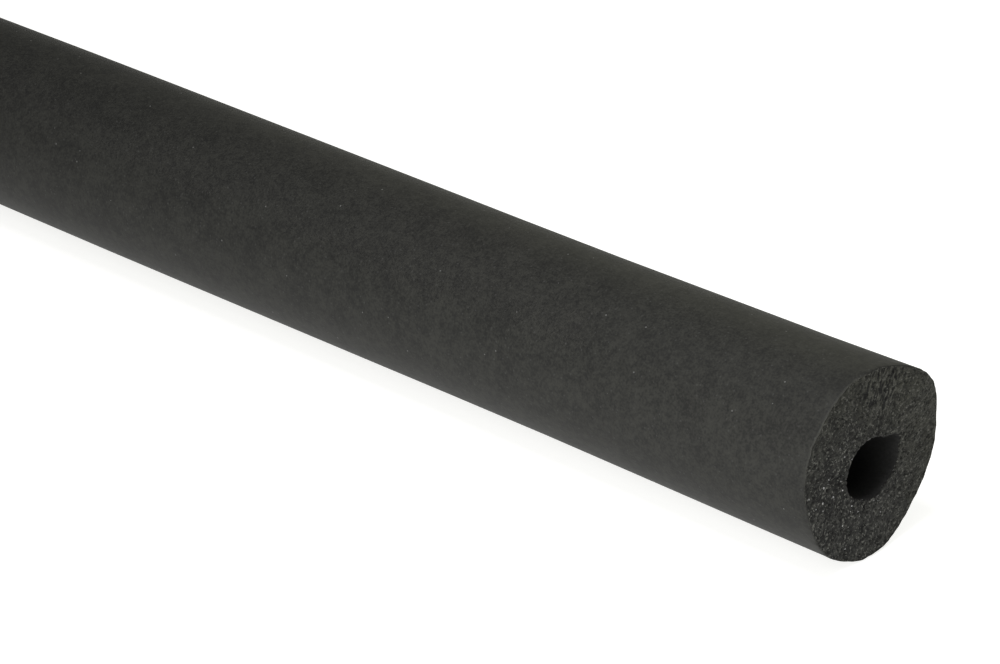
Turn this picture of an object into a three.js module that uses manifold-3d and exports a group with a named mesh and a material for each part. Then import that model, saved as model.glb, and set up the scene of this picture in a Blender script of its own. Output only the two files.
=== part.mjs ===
// Pipe insulation lagging: one straight length of black closed-cell foam rubber tube.
// It lies along X on the plane z = 0, and the length is centred on x = 0.
// The +X end was cut by hand while the soft tube was squeezed, so that its face is an uneven saddle.
// The -X end is the plain square cut of the stock. The bore runs through, a little off centre and oval.
import * as THREE from "three";
import { mergeVertices } from "three/addons/utils/BufferGeometryUtils.js";
import Module from "manifold-3d";

// Driving dimensions, in millimetres and degrees. Directions go from +Y towards +Z.
const LENGTH = 1000; // end to end, over the proud parts of the hand cut
const BORE = 15; // mean diameter of the bore, for a pipe of 15 mm outside diameter
const WALL = 13; // nominal wall, from the bore to the skin

const BORE_ASIDE = 0.5; // the bore's centre lies this far towards +Y of the skin's centre
const BORE_BELOW = 1.2; // and this far under it

const CUT_FLAT_SHARE = 0.4; // the share of the wall, from the bore outwards, that stays flat

// Past its flat middle the hand cut's rim waves along the tube: a tilt, a saddle, and the blade's wander.
const CUT_LOBES = [
  { count: 1, height: 0.5, direction: -11 },
  { count: 2, height: 1.07, direction: 48 },
  { count: 3, height: 0.59, direction: 48 },
  { count: 4, height: 0.25, direction: -43 },
  { count: 5, height: 0.37, direction: -15 },
];

// The bore's outline is a circle with a few shallow lobes: oval, then three-sided, then four-sided.
const BORE_LOBES = [
  { count: 2, height: 0.6, direction: -4 },
  { count: 3, height: 0.28, direction: 52 },
  { count: 4, height: 0.23, direction: 29 },
];

const SKIN_SIDES = 72;
const BORE_SIDES = 60;
const CUTTER_OVERRUN = 5; // the bore's cutter runs this far past both ends

const boreRadius = BORE / 2;
const skinRadius = boreRadius + WALL;
const flatRadius = boreRadius + WALL * CUT_FLAT_SHARE;
const restHeight = skinRadius * Math.cos(Math.PI / SKIN_SIDES); // the skin rests on one of its flats
const radians = THREE.MathUtils.degToRad;
const squareEnd = -LENGTH / 2;
const handCutEnd = LENGTH / 2 - proudestOfRim(); // the flat middle of the hand cut

const wasm = await Module();
wasm.setup();

function solidFrom(geometry) {
  geometry.deleteAttribute("normal");
  geometry.deleteAttribute("uv");
  const merged = mergeVertices(geometry);
  const mesh = new wasm.Mesh({
    numProp: 3,
    vertProperties: merged.getAttribute("position").array,
    triVerts: new Uint32Array(merged.index.array),
  });
  return new wasm.Manifold(mesh);
}

function geometryFrom(solid) {
  const mesh = solid.getMesh();
  const geometry = new THREE.BufferGeometry();
  geometry.setAttribute("position", new THREE.BufferAttribute(mesh.vertProperties, mesh.numProp));
  geometry.setIndex(new THREE.BufferAttribute(mesh.triVerts, 1));
  geometry.computeVertexNormals();
  return geometry;
}

function sumOfLobes(lobes, angle) {
  let sum = 0;
  for (const lobe of lobes) {
    sum += lobe.height * Math.cos(lobe.count * (angle - radians(lobe.direction)));
  }
  return sum;
}

function proudestOfRim() {
  let proudest = 0;
  for (let side = 0; side < SKIN_SIDES; side++) {
    const corner = (Math.PI * (2 * side + 1)) / SKIN_SIDES;
    proudest = Math.max(proudest, sumOfLobes(CUT_LOBES, corner));
  }
  return proudest;
}

// How far the hand cut stands out at a place on the section, measured from the skin's centre.
function cutHeight(y, z) {
  const radius = Math.hypot(y, z);
  const outwards = Math.max(0, (radius - flatRadius) / (skinRadius - flatRadius));
  return outwards * sumOfLobes(CUT_LOBES, Math.atan2(z, y));
}

// The tube without its bore, about the X axis, with the lobes pulled into the rim of its hand cut.
function tubeBlank() {
  const profile = [
    new THREE.Vector2(0, squareEnd),
    new THREE.Vector2(skinRadius, squareEnd),
    new THREE.Vector2(skinRadius, handCutEnd),
    new THREE.Vector2(flatRadius, handCutEnd),
    new THREE.Vector2(0, handCutEnd),
  ];
  const blank = new THREE.LatheGeometry(profile, SKIN_SIDES, Math.PI / SKIN_SIDES);
  const yAxisToX = new THREE.Matrix4().makeBasis(
    new THREE.Vector3(0, 0, 1),
    new THREE.Vector3(1, 0, 0),
    new THREE.Vector3(0, 1, 0),
  );
  blank.applyMatrix4(yAxisToX);

  const places = blank.getAttribute("position");
  for (let i = 0; i < places.count; i++) {
    if (places.getX(i) > 0) {
      places.setX(i, handCutEnd + cutHeight(places.getY(i), places.getZ(i)));
    }
  }
  return solidFrom(blank);
}

function boreOutline() {
  const outline = [];
  for (let i = 0; i < BORE_SIDES; i++) {
    const angle = (2 * Math.PI * i) / BORE_SIDES;
    const radius = boreRadius + sumOfLobes(BORE_LOBES, angle);
    const aside = BORE_ASIDE + radius * Math.cos(angle);
    const height = -BORE_BELOW + radius * Math.sin(angle);
    outline.push(new THREE.Vector2(aside, height));
  }
  return new THREE.Shape(outline);
}

function boreCutter() {
  const cutter = new THREE.ExtrudeGeometry(boreOutline(), {
    depth: LENGTH + 2 * CUTTER_OVERRUN,
    bevelEnabled: false,
  });
  const zAxisToX = new THREE.Matrix4().makeBasis(
    new THREE.Vector3(0, 1, 0),
    new THREE.Vector3(0, 0, 1),
    new THREE.Vector3(1, 0, 0),
  );
  cutter.applyMatrix4(zAxisToX);
  cutter.translate(squareEnd - CUTTER_OVERRUN, 0, 0);
  return solidFrom(cutter);
}

const blackFoamRubber = new THREE.MeshStandardMaterial({
  color: 0x393937,
  roughness: 0.9,
  metalness: 0,
});

const foamTube = new THREE.Mesh(geometryFrom(tubeBlank().subtract(boreCutter())), blackFoamRubber);
foamTube.name = "foam_tube";
foamTube.position.z = restHeight;

const lagging = new THREE.Group();
lagging.add(foamTube);

export default lagging;
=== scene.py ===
"""Dresses a length of black foam rubber pipe lagging: its skin, its cut cells and its bore."""
import math

import bmesh
import bpy
from mathutils import Matrix, Vector, noise


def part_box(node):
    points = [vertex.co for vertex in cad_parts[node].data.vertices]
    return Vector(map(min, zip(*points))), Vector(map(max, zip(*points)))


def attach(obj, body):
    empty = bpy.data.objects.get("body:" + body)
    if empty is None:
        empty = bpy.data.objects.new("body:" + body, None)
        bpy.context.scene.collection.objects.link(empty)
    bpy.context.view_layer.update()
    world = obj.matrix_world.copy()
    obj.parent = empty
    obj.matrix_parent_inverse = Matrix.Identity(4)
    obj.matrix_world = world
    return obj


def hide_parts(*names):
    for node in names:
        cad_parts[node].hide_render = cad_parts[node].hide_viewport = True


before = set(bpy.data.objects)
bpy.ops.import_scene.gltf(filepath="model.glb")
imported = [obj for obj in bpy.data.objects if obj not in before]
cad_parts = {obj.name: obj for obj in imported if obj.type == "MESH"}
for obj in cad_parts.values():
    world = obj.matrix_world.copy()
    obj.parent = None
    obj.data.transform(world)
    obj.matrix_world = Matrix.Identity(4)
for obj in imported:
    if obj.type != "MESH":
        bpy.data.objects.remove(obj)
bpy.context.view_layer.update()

MM = 0.001

# The tube, in millimetres. Directions on its section go from +Y towards +Z, in degrees.
BORE_RADIUS = 7.5
SKIN_RADIUS = 20.5
WALL = SKIN_RADIUS - BORE_RADIUS
BORE_ASIDE = 0.5
BORE_BELOW = 1.2
SQUARE_END = -500.0
HAND_CUT_END = 497.573  # the flat middle of the hand cut
END_BAND = 20.0  # the waves of the hand cut's rim fade out this far along the tube
RIM_ROUNDING = 0.3
RIM_ROUNDING_STEPS = 3
TOUCHING = 0.01  # a point this near to an end or to the skin lies on it
MERGING = 0.001  # points this near to each other are one point

# Lobes are given as count, height and direction, and add up: first the bore's outline, then the cut's rim.
BORE_LOBES = [(2, 0.6, -4), (3, 0.28, 52), (4, 0.23, 29)]
CUT_LOBES = [(1, 0.5, -11), (2, 1.07, 48), (3, 0.59, 48), (4, 0.25, -43), (5, 0.37, -15)]

# Where the blade pulled the soft foam at the hand cut: each bell's direction, height and width in degrees.
# The mouth's and the rim's bells stand outwards from the axis, and the lip's bells along it.
MOUTH_BELLS = [(31, 0.75, 13), (61, -0.65, 16), (-53, -1.55, 29), (-10, 0.3, 10)]
MOUTH_BAND = 8.0  # the bells of the bore's mouth fade out this far into the bore
RIM_BELLS = [(60, 0.28, 15), (-44, -0.25, 14), (-98, 0.2, 8)]
LIP_BELLS = [(96, 0.8, 9)]

# How far across the wall a point lies, from 0 at the bore to 1 at the skin.
AT_BORE = 0.03  # less than this is the bore's own wall
NEAR_RIM = 0.9  # more than this is torn with the rim
AT_SKIN = 0.97  # more than this is the skin

# How the cut cells and the skin depart from smooth, in millimetres.
CELL_SIZE = 0.62
CELL_DEPTH = 0.24
CELL_WALL_SHARE = 0.35
SHALLOWEST_CELL = 0.35  # its share of the deepest cell's depth
CELL_LOTS = 7.3  # moves the cells' middles apart, so that each draws a depth of its own
MOUTH_ROUNDING = 0.45
MOUTH_RAGGED = 0.35
MOUTH_RAGGED_BAND = 0.8  # the bore's wall turns smooth over this distance from its ends
MOUTH_RAGS_PER_MM = 1.7
KNIFE_WANDER = 0.15  # the blade wanders this much over KNIFE_WANDER_LENGTH
KNIFE_WANDER_LENGTH = 6.0
RIM_TEAR = 0.12  # the rims are torn by this much over RIM_TEAR_LENGTH
RIM_TEAR_LENGTH = 1.8
RIM_TEAR_BAND = 1.0  # and this far behind the ends
TEAR_LAYER = 5.0  # the place of the tears in the noise, apart from the blade's wander
OUTWARD_TEAR_PITCH = 1.3  # the tears outwards come this much closer than the ones along the tube
RIM_HIGHLIGHT_BAND = 0.3  # the painted highlight along the cut's rim reaches this far behind it
SKIN_SWELL = 0.1
SKIN_SWELL_LENGTH = 75.0
WAIST_DEPTH = 0.35  # the soft tube draws in a little behind the hand cut, and is fuller past that
WAIST_FROM_CUT = 80.0
WAIST_LENGTH = 45.0
FULLER = 0.35
FULLER_FROM_CUT = (130.0, 250.0)

# How finely each stretch of the section is divided before it is spun round.
SPIN_STEPS = 460
HAND_CUT_RINGS = 66
SQUARE_CUT_RINGS = 50
END_BAND_RINGS = 12
SKIN_RINGS = 34
BORE_RINGS = 12

# The tube's finishes, in the order of its material slots, and what tells the ends' and the bore's faces.
SKIN_FINISH, CUT_FINISH, BORE_FINISH = range(3)
END_FACING = 0.8  # the least part of an end face's normal that lies along X
BORE_FACE_MARGIN = 0.1  # in millimetres, past the bore's radius

# Places on the hand cut, in metres: where the blade dragged the foam into leaning streaks, where the
# painted glints gather and the cells' tones have the most contrast, and the middle of the painted rim
# highlight.
STREAKED_PLACE = (0.498, 0.0015, 0.0365)
STREAK_LEAN = -18.0  # about X, in degrees from upright
STREAK_STRETCH = 3.0  # how many times as long as wide the streaks are
GLINT_AND_CONTRAST_PLACE = (0.498, -0.01, 0.0105)
RIM_HIGHLIGHT_PLACE = (0.4965, -0.0145, 0.035)

# The floor, in millimetres. It is a little dimmer near the tube, where the lights add to its glow.
FLOOR_RADIUS = 40000.0
FLOOR_SIDES = 64
FLOOR_BELOW = 0.25  # under z = 0, because the dressed skin swells down past it
FLOOR_DIM_WITHIN = 700.0
FLOOR_BRIGHT_BEYOND = 1600.0

# The camera, in degrees, with its lens in millimetres, and in metres from the middle of the hand-cut end.
CAMERA_AZIMUTH = 43.71
CAMERA_ELEVATION = 25.35
CAMERA_LENS = 136.8
END_RIGHT_OF_VIEW = 0.07334
END_BELOW_VIEW = 0.02585
END_DISTANCE = 0.74736


class Wire:
    """An output of a shader node, so that shader maths reads as plain sums."""

    def __init__(self, tree, socket):
        self.tree = tree
        self.socket = socket

    def sum_with(self, operation, first, second):
        node = self.tree.nodes.new("ShaderNodeMath")
        node.operation = operation
        fill_socket(self.tree, node.inputs[0], first)
        fill_socket(self.tree, node.inputs[1], second)
        return Wire(self.tree, node.outputs[0])

    def __add__(self, other):
        return self.sum_with("ADD", self, other)

    def __radd__(self, other):
        return self.sum_with("ADD", other, self)

    def __sub__(self, other):
        return self.sum_with("SUBTRACT", self, other)

    def __rsub__(self, other):
        return self.sum_with("SUBTRACT", other, self)

    def __mul__(self, other):
        return self.sum_with("MULTIPLY", self, other)

    def __rmul__(self, other):
        return self.sum_with("MULTIPLY", other, self)

    def __lt__(self, other):
        return self.sum_with("LESS_THAN", self, other)


def fill_socket(tree, socket, value):
    if isinstance(value, Wire):
        tree.links.new(value.socket, socket)
    else:
        socket.default_value = value


class Finish:
    """A material under construction: its shader is in place, and colours are laid over its first one."""

    def __init__(self, name, colour):
        self.colour = colour
        self.material = bpy.data.materials.new(name)
        self.material.use_nodes = True
        self.tree = self.material.node_tree
        self.shader = self.tree.nodes["Principled BSDF"]
        self.places = self.node("ShaderNodeTexCoord", output="Object")

    def node(self, kind, settings=None, sockets=None, output=0):
        made = self.tree.nodes.new(kind)
        for name, value in (settings or {}).items():
            setattr(made, name, value)
        for name, value in (sockets or {}).items():
            fill_socket(self.tree, made.inputs[name], value)
        return Wire(self.tree, made.outputs[output])

    def noise(self, size_mm, detail=2.0, places=None):
        sockets = {"Vector": places or self.places, "Scale": 1 / (size_mm * MM), "Detail": detail}
        return self.node("ShaderNodeTexNoise", {}, sockets, "Fac")

    def cells(self, size_mm, output):
        sockets = {"Vector": self.places, "Scale": 1 / (size_mm * MM)}
        return self.node("ShaderNodeTexVoronoi", {}, sockets, output)

    def lot(self, size_mm):
        """A number drawn for each cell of a pattern, from 0 to 1."""
        return self.node("ShaderNodeSeparateColor", {}, {"Color": self.cells(size_mm, "Color")}, "Red")

    def specks(self, spacing_mm, reach, share):
        """Small dots, one in the middle of some of the cells of a coarse pattern."""
        return (self.cells(spacing_mm, "Distance") < reach) * (self.lot(spacing_mm) < share)

    def smooth_step(self, value, low, high):
        settings = {"interpolation_type": "SMOOTHSTEP"}
        sockets = {"Value": value, "From Min": low, "From Max": high}
        return self.node("ShaderNodeMapRange", settings, sockets, "Result")

    def near(self, place, far_mm, close_mm):
        """1 within the distance close_mm of a place, falling to 0 at the distance far_mm."""
        settings = {"operation": "DISTANCE"}
        apart = self.node("ShaderNodeVectorMath", settings, {0: self.places, 1: place}, "Value")
        return self.smooth_step(apart, far_mm * MM, close_mm * MM)

    def attribute(self, name):
        return self.node("ShaderNodeAttribute", {"attribute_name": name}, {}, "Fac")

    def blend_colours(self, share, first, second):
        # A Mix node's seventh and eighth sockets and its third output are the ones for colours.
        return self.node("ShaderNodeMix", {"data_type": "RGBA"}, {0: share, 6: first, 7: second}, 2)

    def paint(self, colour, share):
        """Lays a colour over the ones before it, by a share from 0 to 1."""
        self.colour = self.blend_colours(share, self.colour, colour)

    def set_bump(self, height, distance_mm, strength):
        sockets = {"Height": height, "Distance": distance_mm * MM, "Strength": strength}
        self.set_shader(Normal=self.node("ShaderNodeBump", {}, sockets, "Normal"))

    def set_shader(self, **sockets):
        for name, value in sockets.items():
            fill_socket(self.tree, self.shader.inputs[name.replace("_", " ")], value)


def grey(level, warmth=0.0):
    """A near-neutral colour; warmth takes that share off its blue."""
    return (level, level, level * (1 - warmth), 1.0)


def painted_rim_highlight(finish):
    """Painted highlight: a thin pale line round the cut where its rounded rim would catch the light, plain
    on its upper side and faint elsewhere.
    """
    plain = finish.near(RIM_HIGHLIGHT_PLACE, far_mm=16.0, close_mm=5.0)
    return finish.attribute("rim") * (0.15 + 0.5 * plain)


def moulded_skin():
    """The closed outer skin: matte, finely grained, faintly clouded, with a few pale specks of dust."""
    finish = Finish("moulded_foam_skin", grey(0.0108, warmth=0.08))
    grain = finish.noise(0.5)
    tone = grain * 0.5 + finish.noise(1.5) * 0.3 + finish.noise(7.0) * 0.2
    clouds = finish.smooth_step(tone, 0.34, 0.66)
    faint_dust = finish.specks(spacing_mm=1.1, reach=0.2, share=0.3)
    dust = finish.specks(spacing_mm=2.6, reach=0.07, share=0.22)
    finish.paint(grey(0.0273, warmth=0.13), clouds)
    finish.paint(grey(0.06, warmth=0.03), faint_dust * 0.3)
    finish.paint(grey(0.14, warmth=0.03), dust * 0.7)
    # Painted highlight: the skin by the cut's rounded rim is lightened where it would catch the light.
    finish.paint(grey(0.075, warmth=0.1), painted_rim_highlight(finish))
    roughness = 0.52 + grain * 0.2
    finish.set_shader(Base_Color=finish.colour, Roughness=roughness, IOR=1.25, Specular_IOR_Level=0.56)
    finish.set_bump(grain + finish.noise(1.6) * 0.6, distance_mm=0.06, strength=0.45)
    return finish.material


def paint_streaks(finish):
    """Where the blade dragged the foam: leaning streaks, with painted shade in their troughs and painted
    highlights on their crests.
    """
    settings = {"vector_type": "TEXTURE"}
    sockets = {
        "Vector": finish.places,
        "Rotation": (math.radians(STREAK_LEAN), 0, 0),
        "Scale": (1.0, 1.0, STREAK_STRETCH),
    }
    leaning = finish.node("ShaderNodeMapping", settings, sockets, "Vector")
    streaks = finish.noise(0.55, detail=1.0, places=leaning)
    dragged = finish.near(STREAKED_PLACE, far_mm=8.0, close_mm=3.5)
    trough_shade = finish.smooth_step(streaks, 0.51, 0.6)
    crest_highlights = finish.smooth_step(streaks, 0.46, 0.36)
    # Painted shade in the streaks' troughs, then painted highlights on their crests.
    finish.paint(grey(0.003), dragged * trough_shade * 0.85)
    finish.paint(grey(0.09, warmth=0.15), dragged * crest_highlights * 0.5)


def cut_cells():
    """The sawn-open foam: pale flecks are painted highlights on the cell walls, pits are painted dark as
    shade, and a few walls have painted glints.
    """
    finish = Finish("cut_foam_cells", grey(0.0595, warmth=0.22))
    # Towards this place the cells' tones have more contrast, and the painted highlights grow.
    contrasty = finish.near(GLINT_AND_CONTRAST_PLACE, far_mm=33.0, close_mm=9.0)
    mottled = finish.blend_colours(finish.noise(4.0), grey(0.051, warmth=0.06), grey(0.064, warmth=0.16))
    finish.paint(mottled, contrasty)

    # This dark colour is painted shade in the pits, round the bore's mouth and in the hollows, and it is
    # also the random tone of darker cells.
    dark = grey(0.004, warmth=0.05)
    # Painted shade: dark noise patches stand in for the shade of shallow hollows.
    hollow_shade = finish.smooth_step(finish.noise(2.8, detail=1.0), 0.6, 0.35)
    # Painted shade: the cells' pits and the rounded edge of the bore's mouth are darkened.
    finish.paint(dark, finish.attribute("pit") * (0.75 + contrasty * 0.25))
    finish.paint(dark, finish.lot(0.45) * (0.6 + contrasty * 0.15))
    finish.paint(dark, finish.lot(0.95) * (0.35 + contrasty * 0.15))
    finish.paint(dark, hollow_shade * (0.2 + contrasty * 0.4))

    # Painted highlights: pale flecks on cell walls where they would catch the light.
    lit_flecks = finish.smooth_step(finish.lot(0.33), 0.55, 1.0)
    lit_flecks *= finish.smooth_step(finish.noise(0.9), 0.4, 0.65)
    finish.paint(grey(0.2, warmth=0.12), lit_flecks * (0.4 + contrasty * 0.3))
    paint_streaks(finish)

    # Painted glints: bright specks on a few cell walls with a smoother finish, gathered round the place
    # where the light falls.
    painted_glints = finish.specks(spacing_mm=1.1, reach=0.22, share=0.25)
    painted_glints *= finish.near(GLINT_AND_CONTRAST_PLACE, far_mm=22.0, close_mm=4.0)
    painted_glints *= finish.smooth_step(finish.noise(0.3), 0.45, 0.56)
    finish.paint(grey(0.65), painted_glints)
    # Painted highlight: the cut face is lightened along the rounded rim.
    finish.paint(grey(0.085, warmth=0.1), painted_rim_highlight(finish))
    roughness = 0.8 - painted_glints * 0.35
    finish.set_shader(Base_Color=finish.colour, Roughness=roughness, IOR=1.3, Specular_IOR_Level=0.5)
    finish.set_bump(finish.cells(0.3, "Distance") + finish.noise(0.3), distance_mm=0.12, strength=0.9)
    return finish.material


def bore_skin():
    """The inside of the bore: the same rubber, a little rougher and darker."""
    finish = Finish("bore_foam_skin", grey(0.018, warmth=0.03))
    grain = finish.noise(0.6, detail=3.0)
    finish.paint(grey(0.031, warmth=0.03), grain)
    finish.set_shader(Base_Color=finish.colour, Roughness=0.9, Specular_IOR_Level=0.1)
    finish.set_bump(grain, distance_mm=0.1, strength=0.7)
    return finish.material


def section_outline(mesh):
    """The tube's section along X, as a closed chain of evenly divided stretches. Z is the radius."""
    stretches = [
        (HAND_CUT_END, BORE_RADIUS, HAND_CUT_RINGS),
        (HAND_CUT_END, SKIN_RADIUS, END_BAND_RINGS),
        (HAND_CUT_END - END_BAND, SKIN_RADIUS, SKIN_RINGS),
        (SQUARE_END + END_BAND, SKIN_RADIUS, END_BAND_RINGS // 2),
        (SQUARE_END, SKIN_RADIUS, SQUARE_CUT_RINGS),
        (SQUARE_END, BORE_RADIUS, BORE_RINGS // 2),
        (SQUARE_END + END_BAND, BORE_RADIUS, BORE_RINGS),
        (HAND_CUT_END - END_BAND, BORE_RADIUS, END_BAND_RINGS),
    ]
    corners = [mesh.verts.new((x * MM, 0, radius * MM)) for x, radius, _ in stretches]
    sides = []
    for place, (_, _, rings) in enumerate(stretches):
        following = corners[(place + 1) % len(corners)]
        sides.append((mesh.edges.new((corners[place], following)), rings))
    for side, rings in sides:
        bmesh.ops.subdivide_edges(mesh, edges=[side], cuts=rings - 1)


def spin_round(mesh):
    bmesh.ops.spin(
        mesh,
        geom=mesh.verts[:] + mesh.edges[:],
        cent=(0, 0, 0),
        axis=(1, 0, 0),
        angle=2 * math.pi,
        steps=SPIN_STEPS,
        use_merge=True,
    )
    bmesh.ops.remove_doubles(mesh, verts=mesh.verts[:], dist=MERGING * MM)


def is_rim(edge):
    ends = [HAND_CUT_END * MM, SQUARE_END * MM]
    for vertex in edge.verts:
        at_skin = abs(math.hypot(vertex.co.y, vertex.co.z) - SKIN_RADIUS * MM) < TOUCHING * MM
        at_end = min(abs(vertex.co.x - end) for end in ends) < TOUCHING * MM
        if not (at_skin and at_end):
            return False
    return True


def round_rims(mesh):
    bmesh.ops.bevel(
        mesh,
        geom=[edge for edge in mesh.edges if is_rim(edge)],
        offset=RIM_ROUNDING * MM,
        affect="EDGES",
        segments=RIM_ROUNDING_STEPS,
        profile=0.5,
        material=-1,
    )


def give_finishes(mesh):
    """Skin outside, cut cells on both ends, and the bore's own skin inside."""
    for face in mesh.faces:
        middle = face.calc_center_median()
        radius = math.hypot(middle.y, middle.z) / MM
        face.smooth = True
        if abs(face.normal.x) > END_FACING:
            face.material_index = CUT_FINISH
        elif radius < BORE_RADIUS + BORE_FACE_MARGIN:
            face.material_index = BORE_FINISH
        else:
            face.material_index = SKIN_FINISH


def clamped(value):
    """A value kept between 0 and 1."""
    return max(0.0, min(1.0, value))


def fading(distance, band):
    """1 at no distance, falling evenly to 0 at the band's far edge."""
    return max(0.0, 1 - distance / band)


def sum_of_lobes(lobes, angle):
    return sum(height * math.cos(count * (angle - math.radians(turned))) for count, height, turned in lobes)


def bell(away):
    """1 in the middle, falling to nothing on both sides."""
    return math.exp(-(away**2))


def sum_of_bells(bells, angle):
    return sum(height * bell((math.degrees(angle) - middle) / width) for middle, height, width in bells)


def bore_point(angle, at_mouth):
    """A point of the bore's outline, seen from the skin's centre."""
    radius = BORE_RADIUS + sum_of_lobes(BORE_LOBES, angle) + at_mouth * sum_of_bells(MOUTH_BELLS, angle)
    return Vector((BORE_ASIDE + radius * math.cos(angle), -BORE_BELOW + radius * math.sin(angle)))


def cell_pit(x, y, z):
    """From 0 on the wall between two cut cells to 1 in the middle of a deep one."""
    distances, middles = noise.voronoi(Vector((x, y, z)) / CELL_SIZE)
    from_wall = min(1.0, (distances[1] - distances[0]) / CELL_WALL_SHARE)
    depth = SHALLOWEST_CELL + (1 - SHALLOWEST_CELL) * noise.cell(middles[0] * CELL_LOTS)
    return clamped(from_wall * depth)


def fullness(from_cut):
    """How much thicker than its nominal radius the skin stands, at a distance behind the hand cut."""
    first, last = FULLER_FROM_CUT
    rise = clamped((from_cut - first) / (last - first))
    waist = WAIST_DEPTH * bell((from_cut - WAIST_FROM_CUT) / WAIST_LENGTH)
    return FULLER * rise * rise * (3 - 2 * rise) - waist


def skin_swell(x, angle):
    """How far the skin stands out from its nominal radius."""
    around = Vector((x / SKIN_SWELL_LENGTH, math.cos(angle), math.sin(angle)))
    return SKIN_SWELL * noise.noise(around) + fullness(HAND_CUT_END - x)


def cut_wave(section, angle):
    """How far the hand cut stands out at a place on the section."""
    outwards = section.length / SKIN_RADIUS
    wander = noise.noise(Vector((section.x, section.y, 0)) / KNIFE_WANDER_LENGTH)
    rim_height = sum_of_lobes(CUT_LOBES, angle) + sum_of_bells(LIP_BELLS, angle)
    return rim_height * outwards**2 + KNIFE_WANDER * wander


def shaped(place):
    """Where a point of the plain spun tube goes, in millimetres, and its shares of pit and of rim."""
    x, y, z = place / MM
    radius = math.hypot(y, z)
    angle = math.atan2(z, y)
    share = clamped((radius - BORE_RADIUS) / WALL)
    from_end = min(HAND_CUT_END - x, x - SQUARE_END)
    near_cut = fading(HAND_CUT_END - x, END_BAND)
    at_mouth = fading(HAND_CUT_END - x, MOUTH_BAND)

    on_skin = Vector((math.cos(angle), math.sin(angle))) * (SKIN_RADIUS if share < 1 else radius)
    section = bore_point(angle, at_mouth).lerp(on_skin, share)
    outwards = skin_swell(x, angle) + near_cut * sum_of_bells(RIM_BELLS, angle)
    section *= 1 + outwards * share / SKIN_RADIUS

    if share < AT_BORE:
        ragged = math.exp(-max(0.0, from_end) / MOUTH_RAGGED_BAND) * MOUTH_RAGGED
        section *= 1 + ragged * noise.noise(Vector((x, y, z)) * MOUTH_RAGS_PER_MM) / BORE_RADIUS
    wave = cut_wave(section, angle)
    if from_end < RIM_TEAR_BAND and share > NEAR_RIM:
        tear = Vector((section.x, section.y, TEAR_LAYER)) / RIM_TEAR_LENGTH
        wave += RIM_TEAR * noise.noise(tear)
        section *= 1 + RIM_TEAR * noise.noise(tear * OUTWARD_TEAR_PITCH) / SKIN_RADIUS

    pit = 0.0
    if from_end < TOUCHING and share < AT_SKIN:
        pit = max(cell_pit(x, section.x, section.y), 1 - share * WALL / MOUTH_ROUNDING)
    # How much of the painted rim highlight the point takes.
    rim = fading(from_end, RIM_HIGHLIGHT_BAND) if share > AT_SKIN else 0.0
    inwards = -1 if x > 0 else 1
    return x + wave * near_cut + inwards * CELL_DEPTH * pit, section, pit, rim


def shape_tube(mesh, axis_height):
    # Per point: pit gives the cells' depth and their painted shade, and rim gives the painted rim
    # highlight.
    pits = mesh.verts.layers.float.new("pit")
    rim_highlights = mesh.verts.layers.float.new("rim")
    for vertex in mesh.verts:
        x, section, pit, rim = shaped(vertex.co)
        vertex[pits] = pit
        vertex[rim_highlights] = rim
        vertex.co = Vector((x * MM, section.x * MM, section.y * MM + axis_height))


def point_faces_outwards(mesh):
    bmesh.ops.recalc_face_normals(mesh, faces=mesh.faces[:])
    if mesh.calc_volume(signed=True) < 0:
        bmesh.ops.reverse_faces(mesh, faces=mesh.faces[:])


def scene_object(name, mesh, materials):
    data = bpy.data.meshes.new(name)
    mesh.to_mesh(data)
    mesh.free()
    for material in materials:
        data.materials.append(material)
    made = bpy.data.objects.new(name, data)
    bpy.context.scene.collection.objects.link(made)
    return made


def lagging_tube(axis_height):
    mesh = bmesh.new()
    section_outline(mesh)
    spin_round(mesh)
    round_rims(mesh)
    point_faces_outwards(mesh)
    give_finishes(mesh)
    shape_tube(mesh, axis_height)
    point_faces_outwards(mesh)
    return scene_object("lagging_tube", mesh, [moulded_skin(), cut_cells(), bore_skin()])


def pale_floor():
    """A wide white floor that glows, so that it stays white around the tube and far from the lights."""
    mesh = bmesh.new()
    bmesh.ops.create_circle(mesh, cap_ends=True, segments=FLOOR_SIDES, radius=FLOOR_RADIUS * MM)
    bmesh.ops.translate(mesh, verts=mesh.verts[:], vec=(0, 0, -FLOOR_BELOW * MM))
    finish = Finish("pale_floor", grey(0.45))
    by_the_tube = finish.near((0, 0, 0), far_mm=FLOOR_BRIGHT_BEYOND, close_mm=FLOOR_DIM_WITHIN)
    finish.set_shader(
        Base_Color=finish.colour,
        Roughness=0.95,
        Specular_IOR_Level=0.0,
        Emission_Color=finish.blend_colours(by_the_tube, grey(0.93), grey(0.84, warmth=0.02)),
        Emission_Strength=1.0,
    )
    return scene_object("pale_floor", mesh, [finish.material])


def softbox(name, place, aim, size, power, warmth=0.0):
    light = bpy.data.lights.new(name, "AREA")
    light.color = grey(1.0, warmth)[:3]
    light.shape = "RECTANGLE"
    light.size, light.size_y = size
    light.energy = power
    lamp = bpy.data.objects.new(name, light)
    lamp.location = place
    lamp.rotation_mode = "QUATERNION"
    lamp.rotation_quaternion = (Vector(aim) - Vector(place)).to_track_quat("-Z", "Y")
    lamp.visible_camera = False
    bpy.context.scene.collection.objects.link(lamp)


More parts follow.
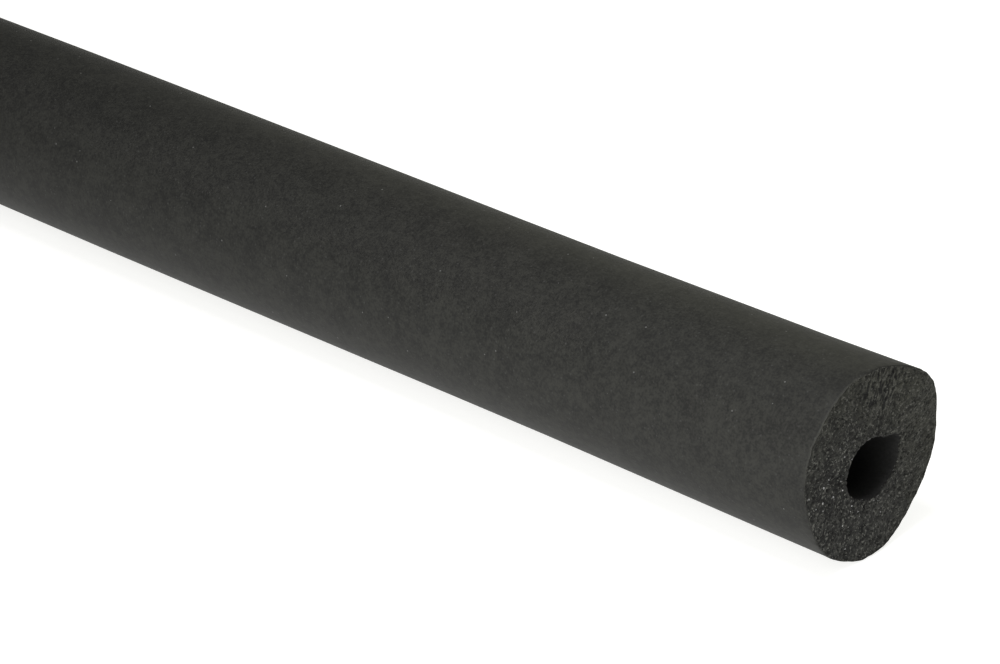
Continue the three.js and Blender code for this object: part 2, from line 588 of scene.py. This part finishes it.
def studio_light():
    world = bpy.data.worlds.new("white_room")
    world.use_nodes = True
    background = world.node_tree.nodes["Background"]
    background.inputs["Color"].default_value = grey(1.0)
    background.inputs["Strength"].default_value = 0.25
    bpy.context.scene.world = world
    softbox("back_panel", (0.2, 0.51, 0.33), aim=(0.2, 0, 0), size=(0.6, 0.3), power=0.7, warmth=0.25)
    softbox("high_softbox", (0.475, -0.11, 0.38), aim=(0.47, 0, 0.02), size=(0.15, 0.15), power=0.95)
    softbox("front_softbox", (0.16, -0.22, 0.24), aim=(0.4, 0, 0.02), size=(0.2, 0.1), power=0.13)
    softbox("low_softbox", (0.48, -0.22, 0.05), aim=(0.48, 0, 0.01), size=(0.15, 0.1), power=0.2)
    softbox("end_softbox", (0.62, -0.3, 0.3), aim=(0.5, 0, 0.02), size=(0.15, 0.15), power=0.25)
    bpy.context.scene.view_settings.view_transform = "Standard"


def camera_at_the_cut_end(axis_height):
    azimuth = math.radians(CAMERA_AZIMUTH)
    elevation = math.radians(CAMERA_ELEVATION)
    level = math.cos(elevation)
    backwards = Vector((math.sin(azimuth) * level, -math.cos(azimuth) * level, math.sin(elevation)))
    rightwards = Vector((math.cos(azimuth), math.sin(azimuth), 0))
    upwards = backwards.cross(rightwards)
    end = Vector((HAND_CUT_END * MM, 0, axis_height))
    place = end - END_RIGHT_OF_VIEW * rightwards + END_BELOW_VIEW * upwards + END_DISTANCE * backwards

    lens = bpy.data.cameras.new("camera")
    lens.lens = CAMERA_LENS
    lens.sensor_width = 36.0
    lens.clip_start = 0.01
    camera = bpy.data.objects.new("camera", lens)
    turned = Matrix((rightwards, upwards, backwards)).transposed()
    camera.matrix_world = Matrix.Translation(place) @ turned.to_4x4()
    bpy.context.scene.collection.objects.link(camera)
    bpy.context.scene.camera = camera


tube_low, tube_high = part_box("foam_tube")
tube_axis_height = (tube_low.z + tube_high.z) / 2
tube = lagging_tube(tube_axis_height)
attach(tube, "root")
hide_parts("foam_tube")
pale_floor()
studio_light()
camera_at_the_cut_end(tube_axis_height)
